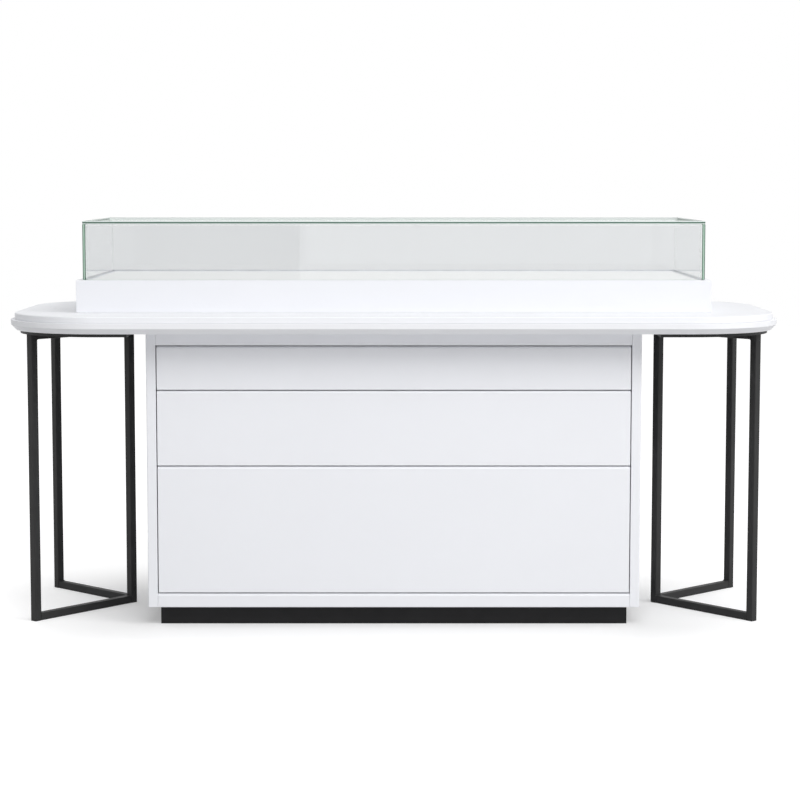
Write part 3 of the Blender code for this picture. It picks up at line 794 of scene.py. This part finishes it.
def screw_head(details):
    """A button-head screw with a six-sided socket, standing on local Z 0."""
    radius = details.screw_head / 2
    shape = bmesh.new()
    rings = []
    for reach, height, six_sided in SCREW_RINGS:
        ring = []
        for step in range(SCREW_POINTS):
            angle = math.tau * step / SCREW_POINTS
            spread = radius * reach
            if six_sided:
                spread *= math.cos(HALF_SIDE) / math.cos(angle % (2 * HALF_SIDE) - HALF_SIDE)
            place = (spread * math.cos(angle), spread * math.sin(angle), details.screw_rise * height)
            ring.append(shape.verts.new(place))
        rings.append(ring)
    for low, high in zip(rings, rings[1:]):
        for step in range(SCREW_POINTS):
            after = (step + 1) % SCREW_POINTS
            shape.faces.new((low[step], low[after], high[after], high[step]))
    shape.faces.new(rings[-1])
    shape.faces.new(rings[0][::-1])
    return bpy.data.objects.new("screw_head", plain_mesh("screw_head", shape, SCREW_SHARP))


def add_screws(name, points, axis, body, slot, looks):
    """One piece with a zinc-plated screw head at each point."""
    head = screw_head(looks.joinery)
    bpy.context.scene.collection.objects.link(head)
    tree = shared_group("Screws On Points", make_screws_on_points)
    mesh = grow_mesh(name, points_mesh(name + "_points", points), tree,
                     {"Head": head, "Axis": axis, "Finish": zinc_plate(looks)})
    head_mesh = head.data
    bpy.data.objects.remove(head)
    bpy.data.meshes.remove(head_mesh)
    add_piece(name, mesh, body, slot)


def add_beads(name, paths, body, slot, values):
    """One piece of beads along several paths of points."""
    points = []
    edges = []
    for path in paths:
        first = len(points)
        points.extend(path)
        edges.extend((first + step, first + step + 1) for step in range(len(path) - 1))
    tree = shared_group("Beads On Lines", make_beads_on_lines)
    mesh = grow_mesh(name, points_mesh(name + "_lines", points, edges), tree, values)
    add_piece(name, mesh, body, slot)


# Operators

class COUNTER_OT_table_top(bpy.types.Operator):
    """Make the two slabs of the table top with smooth round corners"""

    bl_idname = "counter.table_top"
    bl_label = "Table Top"

    def execute(self, context):
        looks = context.scene.counter_looks
        details = looks.joinery
        lacquer = table_lacquer(looks)
        corner = self.corner_radius("table_lower_slab")
        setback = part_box("table_upper_slab")[0].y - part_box("table_lower_slab")[0].y
        edges = {
            "table_lower_slab": (corner, details.slab_arris, details.slab_chamfer, 0.0),
            "table_upper_slab": (corner - setback, details.slab_easing, details.slab_arris,
                                 details.slab_easing),
        }
        for node, (radius, upper, lower, rounding) in edges.items():
            low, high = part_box(node)
            mesh = sheet_mesh(node.replace("table_", ""), high - low, (lacquer, lacquer), {
                "Corner Radius": radius, "Corner Points": details.corner_points, "Upper Bevel": upper,
                "Lower Bevel": lower, "Rounding": rounding})
            mesh.transform(Matrix.Translation((low + high) / 2))
            stand_in(mesh, node)
        return {"FINISHED"}

    @staticmethod
    def corner_radius(node):
        """Radius of the node's round corners, from where its straight front edge ends."""
        low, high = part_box(node)
        points = [vert.co for vert in frame["nodes"][node].data.vertices]
        return high.x - max(point.x for point in points if point.y < low.y + FRONT_TOLERANCE)


class COUNTER_OT_cabinet(bpy.types.Operator):
    """Finish the cabinet's boards and its plinth"""

    bl_idname = "counter.cabinet"
    bl_label = "Cabinet"

    def execute(self, context):
        looks = context.scene.counter_looks
        for node in ("side_panel_left", "side_panel_right", "bottom_panel", "top_panel", "back_panel"):
            dress(node, white_lacquer(looks))
        dress("plinth_frame", black_laminate(looks))
        return {"FINISHED"}


class COUNTER_OT_drawers(bpy.types.Operator):
    """Finish the drawer fronts and make the drawer boxes out of boards"""

    bl_idname = "counter.drawers"
    bl_label = "Drawers"

    def execute(self, context):
        looks = context.scene.counter_looks
        details = looks.joinery
        inward = (0.0, 1.0, 0.0)
        for drawer in DRAWERS:
            dress(drawer + "_front", white_lacquer(looks))
            node = drawer + "_box"
            mesh = boards_mesh(drawer + "_boards", self.boards(node, details), details.board_easing)
            mesh.materials.append(white_melamine(looks))
            stand_in(mesh, node)
            add_screws(drawer + "_front_screws", self.front_screws(node, details), inward, body_of(node),
                       "slide_steel", looks)
        return {"FINISHED"}

    @staticmethod
    def boards(node, details):
        """Corners of the box's two sides, front, back and floor."""
        low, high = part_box(node)
        wall = details.box_wall
        inner = wall + details.joint_gap
        left = low.x + inner
        right = high.x - inner
        return (
            (low, (low.x + wall, high.y, high.z)),
            ((high.x - wall, low.y, low.z), high),
            ((left, low.y, low.z), (right, low.y + wall, high.z)),
            ((left, high.y - wall, low.z), (right, high.y, high.z)),
            ((left, low.y + inner, low.z), (right, high.y - inner, low.z + details.box_floor)),
        )

    @staticmethod
    def front_screws(node, details):
        """Points on the inner face of the box's front board, in two rows where there is room."""
        low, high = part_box(node)
        size = high - low
        face = low.y + details.box_wall
        rows = TALL_BOX_ROWS if size.z > TALL_BOX else LOW_BOX_ROWS
        return [(low.x + size.x * share, face, low.z + size.z * row)
                for row in rows for share in FRONT_SCREWS]


class COUNTER_OT_slides(bpy.types.Operator):
    """Make the ball-bearing slides of the drawers and the tray"""

    bl_idname = "counter.slides"
    bl_label = "Slides"

    def execute(self, context):
        looks = context.scene.counter_looks
        for carried in SLIDE_SETS:
            for side, inward in SIDES:
                self.make_slide(carried + "_slide_" + side, inward, looks)
        return {"FINISHED"}

    def make_slide(self, name, inward, looks):
        """One slide: the outer channel on the wall, the inner channel, two rows of balls and the screws."""
        details = looks.joinery
        sheet = details.slide_sheet
        outer_node = name + "_fixed"
        inner_node = name + "_moving"
        low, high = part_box(outer_node)
        inner_low, inner_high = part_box(inner_node)
        wall, mouth = (low.x, high.x)[::inward]
        tip, web = (inner_low.x, inner_high.x)[::inward]
        middle = (low.z + high.z) / 2
        half = sheet / 2
        top = (high.z - low.z) / 2 - half
        race = top - half - details.ball_size / 2
        ledge = race - details.ball_size / 2 - half
        lip = mouth - inward * half
        run = (low.y, high.y)

        outer = [(lip, race + half), (lip, top), (wall + inward * half, top)]
        self.add_channel(name + "_outer", outer, middle, run, outer_node, looks)
        inner = [(tip, ledge), (web - inward * half, ledge)]
        self.add_channel(name + "_inner", inner, middle, run, inner_node, looks)

        ball_x = (wall + lip) / 2 + inward * sheet
        start = low.y + details.ball_pitch
        rows = [[(ball_x, start, middle + height), (ball_x, start + details.cage_length, middle + height)]
                for height in (race, -race)]
        add_beads(name + "_balls", rows, body_of(outer_node), slot_of(outer_node), {
            "Pitch": details.ball_pitch, "Radius": details.ball_size / 2, "Finish": ball_steel(looks)})

        faces = (("_outer_screws", outer_node, wall + inward * sheet, inward),
                 ("_inner_screws", inner_node, web - inward * sheet, -inward))
        for ending, node, face, way in faces:
            points = [(face, run[0] + (run[1] - run[0]) * share, middle) for share in SLIDE_SCREWS]
            add_screws(name + ending, points, (way, 0.0, 0.0), body_of(node), slot_of(node), looks)

    @staticmethod
    def add_channel(name, upper_half, middle, run, node, looks):
        """One rolled channel in place of its node, from the upper half of its section."""
        section = upper_half + [(x, -z) for x, z in upper_half[::-1]]
        path = rounded_path([(x, middle + z) for x, z in section], looks.joinery.slide_bend)
        mesh = rolled_sheet_mesh(name, path, looks.joinery.slide_sheet, run)
        mesh.materials.append(zinc_plate(looks))
        stand_in(mesh, node)


class COUNTER_OT_leg_frames(bpy.types.Operator):
    """Finish the V frames and add their weld beads and the screws of the top plates"""

    bl_idname = "counter.leg_frames"
    bl_label = "Leg Frames"

    def execute(self, context):
        looks = context.scene.counter_looks
        for side, inward in SIDES:
            self.make_frame(side, inward, looks)
        return {"FINISHED"}

    def make_frame(self, side, inward, looks):
        """One V frame."""
        details = looks.joinery
        coat = black_powder_coat(looks)
        for node in frame["nodes"]:
            if node.startswith(side + "_"):
                dress(node, coat)
        inner = self.post_middle(side + "_inner_leg")
        front = self.post_middle(side + "_front_leg")
        back = self.post_middle(side + "_back_leg")
        paths = self.weld_paths(side, inner, front, back, details)
        add_beads(side + "_welds", paths, "counter", "black_steel", {
            "Pitch": details.weld_pitch, "Radius": details.weld, "Stretch": WELD_STRETCH, "Finish": coat})

        low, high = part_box(side + "_top_plate")
        end, start = (low.x, high.x)[::inward]
        marks = [inner.lerp((front + back) / 2, share) for share in PLATE_SCREWS]
        for along, across in PLATE_SCREW_PAIRS:
            marks += [Vector((start + (end - start) * along, (high.y - low.y) * spread))
                      for spread in (across, -across)]
        points = [(mark.x, mark.y, low.z) for mark in marks]
        add_screws(side + "_plate_screws", points, (0.0, 0.0, -1.0), "counter", "black_steel", looks)

    @staticmethod
    def post_middle(node):
        """Middle of an upright post, in X and Y."""
        low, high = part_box(node)
        return ((low + high) / 2).xy

    def weld_paths(self, side, inner, front, back, details):
        """Paths of the welds where the foot rails and top rails of a frame meet its posts."""
        front_arm = (front - inner).normalized()
        back_arm = (back - inner).normalized()
        # The inner post is turned to the front arm, so the back arm meets one of its other faces.
        back_face = Vector((-front_arm.y, front_arm.x))
        if back_face.dot(back_arm) < 0:
            back_face = -back_face
        joints = ((front, -front_arm, -front_arm), (inner, front_arm, front_arm),
                  (back, -back_arm, -back_arm), (inner, back_face, back_arm))
        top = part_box(side + "_inner_leg")[1].z
        rail_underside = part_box(side + "_front_top_rail")[0].z
        return [self.weld_path(*joint, crest, foot, details) for joint in joints
                for crest, foot in ((details.tube, 0.0), (rail_underside, top))]

    @staticmethod
    def weld_path(post, normal, arm, crest, foot, details):
        """Path of a weld round three sides of a rail where it meets a post's face."""
        half = details.tube / 2
        lean = arm.dot(normal)
        meeting = post + arm * (half / lean)
        aside = Vector((-normal.y, normal.x)) * (half / lean)
        inset = details.weld if foot < crest else -details.weld
        places = ((meeting - aside, foot + inset), (meeting - aside, crest),
                  (meeting + aside, crest), (meeting + aside, foot + inset))
        return [(place.x, place.y, height) for place, height in places]


class COUNTER_OT_showcase(bpy.types.Operator):
    """Finish the case base and the tray, and make the five panes of glass"""

    bl_idname = "counter.showcase"
    bl_label = "Showcase"

    def execute(self, context):
        looks = context.scene.counter_looks
        for node in ("case_base_left", "case_base_right", "case_base_back", "tray_fascia"):
            dress(node, white_lacquer(looks))
        dress("tray_deck", white_deck(looks))
        dress("glazing_strip", zinc_plate(looks))
        for node in ("tray_side_left", "tray_side_right"):
            dress(node, white_melamine(looks))
        self.make_glide_strip(looks)
        self.make_panes(looks)
        return {"FINISHED"}

    @staticmethod
    def make_glide_strip(looks):
        """The felt strip under the fascia, just clear of the table top that it slides over."""
        details = looks.joinery
        low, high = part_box("tray_fascia")
        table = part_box("table_upper_slab")[1].z
        inset = Vector((details.glide_inset, details.glide_inset, 0.0))
        foot = Vector((low.x, low.y, table + details.joint_gap)) + inset
        crest = Vector((high.x, high.y, low.z)) - inset
        mesh = boards_mesh("fascia_glide_strip", ((foot, crest),), details.joint_gap)
        mesh.materials.append(white_felt(looks))
        add_piece(mesh.name, mesh, body_of("tray_fascia"), slot_of("tray_fascia"))

    def make_panes(self, looks):
        """The five panes, each with the finishes of its faces and its edges."""
        glass = looks.glass
        clear = clear_glass(looks, "clear_glass_wiped", glass.pane)
        # The front and rear panes take lighter and darker copies of the glass: painted light and painted
        # shade.
        front_glass_painted_light = clear_glass(looks, "clear_glass_front", glass.front_pane)
        rear_glass_painted_shade = clear_glass(looks, "clear_glass_rear", glass.rear_pane)
        # Each edge: the glass's green with painted highlight and shade across it, nearly white rims that are
        # painted highlights, and pale rear edges that are painted light.
        side_edge = glass_edge("glass_edge_side", glass.edge_green_painted_lit, glass.edge_green_painted_shade, SIDE_EDGE_BAND,
                               glass.seam_painted_highlight)
        top_edge = glass_edge("glass_edge_top", glass.edge_green_painted_shade, glass.rim_painted_highlight, TOP_EDGE_BAND,
                              glass.rear_edge_painted_light)
        front_edge = glass_edge("glass_edge_front", glass.edge_green_painted_lit, glass.seam_painted_highlight, SIDE_EDGE_BAND)
        to_right = Vector((1.0, 0.0, 0.0))
        to_front = Vector((0.0, -1.0, 0.0))
        to_back = Vector((0.0, 1.0, 0.0))
        upward = Vector((0.0, 0.0, 1.0))
        self.make_pane("glass_left", (to_back, upward, to_right), (clear, side_edge), glass)
        self.make_pane("glass_right", (to_back, upward, to_right), (clear, side_edge), glass)
        self.make_pane("glass_front", (to_right, upward, to_front), (front_glass_painted_light, front_edge), glass)
        self.make_pane("glass_rear", (to_right, upward, to_front), (rear_glass_painted_shade, rear_glass_painted_shade), glass)
        self.make_pane("glass_top", (to_right, to_back, upward), (clear, top_edge), glass)

    @staticmethod
    def make_pane(node, axes, materials, glass):
        """One pane whose width, height and thickness run along three axes."""
        low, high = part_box(node)
        size = [abs((high - low).dot(axis)) for axis in axes]
        name = node.replace("glass_", "") + "_pane"
        mesh = sheet_mesh(name, size, materials, {
            "Corner Radius": glass.corner, "Corner Points": PANE_CORNER_POINTS,
            "Upper Bevel": glass.arris, "Lower Bevel": glass.arris})
        turn = Matrix(axes).transposed().to_4x4()
        mesh.transform(Matrix.Translation((low + high) / 2) @ turn)
        stand_in(mesh, node)


class COUNTER_OT_stage(bpy.types.Operator):
    """Set up the floor, the sky, the lamps and the camera"""

    bl_idname = "counter.stage"
    bl_label = "Stage"

    def execute(self, context):
        stage = context.scene.counter_looks.stage
        context.scene.view_settings.view_transform = "Standard"
        self.add_floor(stage)
        self.add_sky(context.scene, stage)
        for name, (place, size, aim, shows) in LAMPS.items():
            self.add_lamp(name, Vector(place), size, Vector(aim), getattr(stage, name), shows)
        self.add_camera(context.scene, stage)
        return {"FINISHED"}

    @staticmethod
    def looked_at(tree):
        """1 for rays that end in the picture: straight, mirrored or through glass."""
        path = add_node(tree, "ShaderNodeLightPath").outputs
        seen = calculate(tree, "MAXIMUM", path["Is Camera Ray"], path["Is Glossy Ray"])
        return calculate(tree, "MAXIMUM", seen, path["Is Transmission Ray"])

    def add_floor(self, stage):
        """A round pale floor that keeps the counter's shadow near the plinth, with painted shade at the
        plinth's front and painted light over the shadow farther off.
        """
        shape = bmesh.new()
        bmesh.ops.create_circle(shape, cap_ends=True, segments=FLOOR_POINTS, radius=stage.floor_radius)
        floor = bpy.data.objects.new("floor", plain_mesh("floor", shape))
        bpy.context.scene.collection.objects.link(floor)
        floor.data.materials.append(self.floor_finish(stage))

    def floor_finish(self, stage):
        """Matt pale finish that is whiter away from the plinth where it is looked at. Its added white is
        least along the plinth's front, painting shade there, and paints light over the shadow farther off.
        """
        material, tree, shader = new_material("pale_floor")
        low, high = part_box("plinth_frame")
        # The box of least added white lies along the plinth's front: painted shade.
        half = Vector((high.x, stage.painted_shade_depth / 2, 0.0))
        middle = Vector((0.0, low.y + half.y, 0.0))
        outside = calculate_vector(tree, "SUBTRACT", object_place(tree), middle)
        outside = calculate_vector(tree, "ABSOLUTE", outside)
        outside = calculate_vector(tree, "SUBTRACT", outside, half)
        outside = calculate_vector(tree, "MAXIMUM", outside, Vector())
        reach = add_node(tree, "ShaderNodeVectorMath", {0: outside}, operation="LENGTH").outputs["Value"]
        lift = smooth_step(tree, reach, 0.0, stage.lift_reach, stage.floor_lift, stage.far_lift)
        feed(tree, shader, {
            "Base Color": (*stage.floor, 1.0), "Roughness": 0.9, "Specular IOR Level": 0.0,
            "Emission Color": WHITE,
            "Emission Strength": calculate(tree, "MULTIPLY", self.looked_at(tree), lift)})
        return material

    def add_sky(self, scene, stage):
        """An even sky that lights the counter and is white where it is looked at."""
        world = bpy.data.worlds.new("studio_sky")
        world.use_nodes = True
        tree = world.node_tree
        light = add_node(tree, "ShaderNodeMix", {"Factor": self.looked_at(tree), "A": stage.sky, "B": 1.0})
        feed(tree, tree.nodes["Background"], {"Color": WHITE, "Strength": light.outputs["Result"]})
        scene.world = world

    @staticmethod
    def add_lamp(name, place, size, aim, strength, shows):
        """A soft lamp at a place, turned to its aim."""
        lamp = bpy.data.lights.new(name, "AREA")
        lamp.shape = "RECTANGLE"
        lamp.size, lamp.size_y = size
        lamp.energy = strength
        holder = bpy.data.objects.new(name, lamp)
        bpy.context.scene.collection.objects.link(holder)
        holder.location = place
        holder.rotation_euler = (aim - place).to_track_quat("-Z", "Y").to_euler()
        holder.visible_glossy = shows
        holder.visible_transmission = shows

    @staticmethod
    def add_camera(scene, stage):
        """The camera in front of the drawers, looking a little down."""
        lens = bpy.data.cameras.new("camera")
        lens.lens = stage.lens
        lens.sensor_width = SENSOR_WIDTH
        lens.shift_x = stage.shift
        camera = bpy.data.objects.new("camera", lens)
        scene.collection.objects.link(camera)
        camera.location = (0.0, -stage.distance, stage.eye)
        camera.rotation_euler = (math.pi / 2 - stage.pitch, 0.0, 0.0)
        scene.camera = camera


OPERATORS = (COUNTER_OT_table_top, COUNTER_OT_cabinet, COUNTER_OT_drawers, COUNTER_OT_slides,
             COUNTER_OT_leg_frames, COUNTER_OT_showcase, COUNTER_OT_stage)


class COUNTER_PT_looks(bpy.types.Panel):
    """Sidebar panel with the counter's operators and settings"""

    bl_idname = "COUNTER_PT_looks"
    bl_label = "Display Counter"
    bl_space_type = "VIEW_3D"
    bl_region_type = "UI"
    bl_category = "Counter"

    def draw(self, context):
        layout = self.layout
        for operator in OPERATORS:
            layout.operator(operator.bl_idname)
        looks = context.scene.counter_looks
        for name in ("boards", "metals", "glass", "joinery", "stage"):
            group = getattr(looks, name)
            box = layout.box()
            box.label(text=name.capitalize())
            for field in group.__annotations__:
                box.prop(group, field)


CLASSES = (BoardFinishes, MetalFinishes, GlassFinishes, JoineryDetails, StageSettings, CounterLooks,
           *OPERATORS, COUNTER_PT_looks)


def register():
    """Register the classes and hang the settings on the scene."""
    for item in CLASSES:
        bpy.utils.register_class(item)
    bpy.types.Scene.counter_looks = PointerProperty(type=CounterLooks)


def unregister():
    """Take the settings and the classes away again."""
    del bpy.types.Scene.counter_looks
    for item in reversed(CLASSES):
        bpy.utils.unregister_class(item)


def main():
    """Register the add-on and run its operators in order."""
    register()
    bpy.ops.counter.table_top()
    bpy.ops.counter.cabinet()
    bpy.ops.counter.drawers()
    bpy.ops.counter.slides()
    bpy.ops.counter.leg_frames()
    bpy.ops.counter.showcase()
    bpy.ops.counter.stage()


if __name__ == "__main__":
    main()
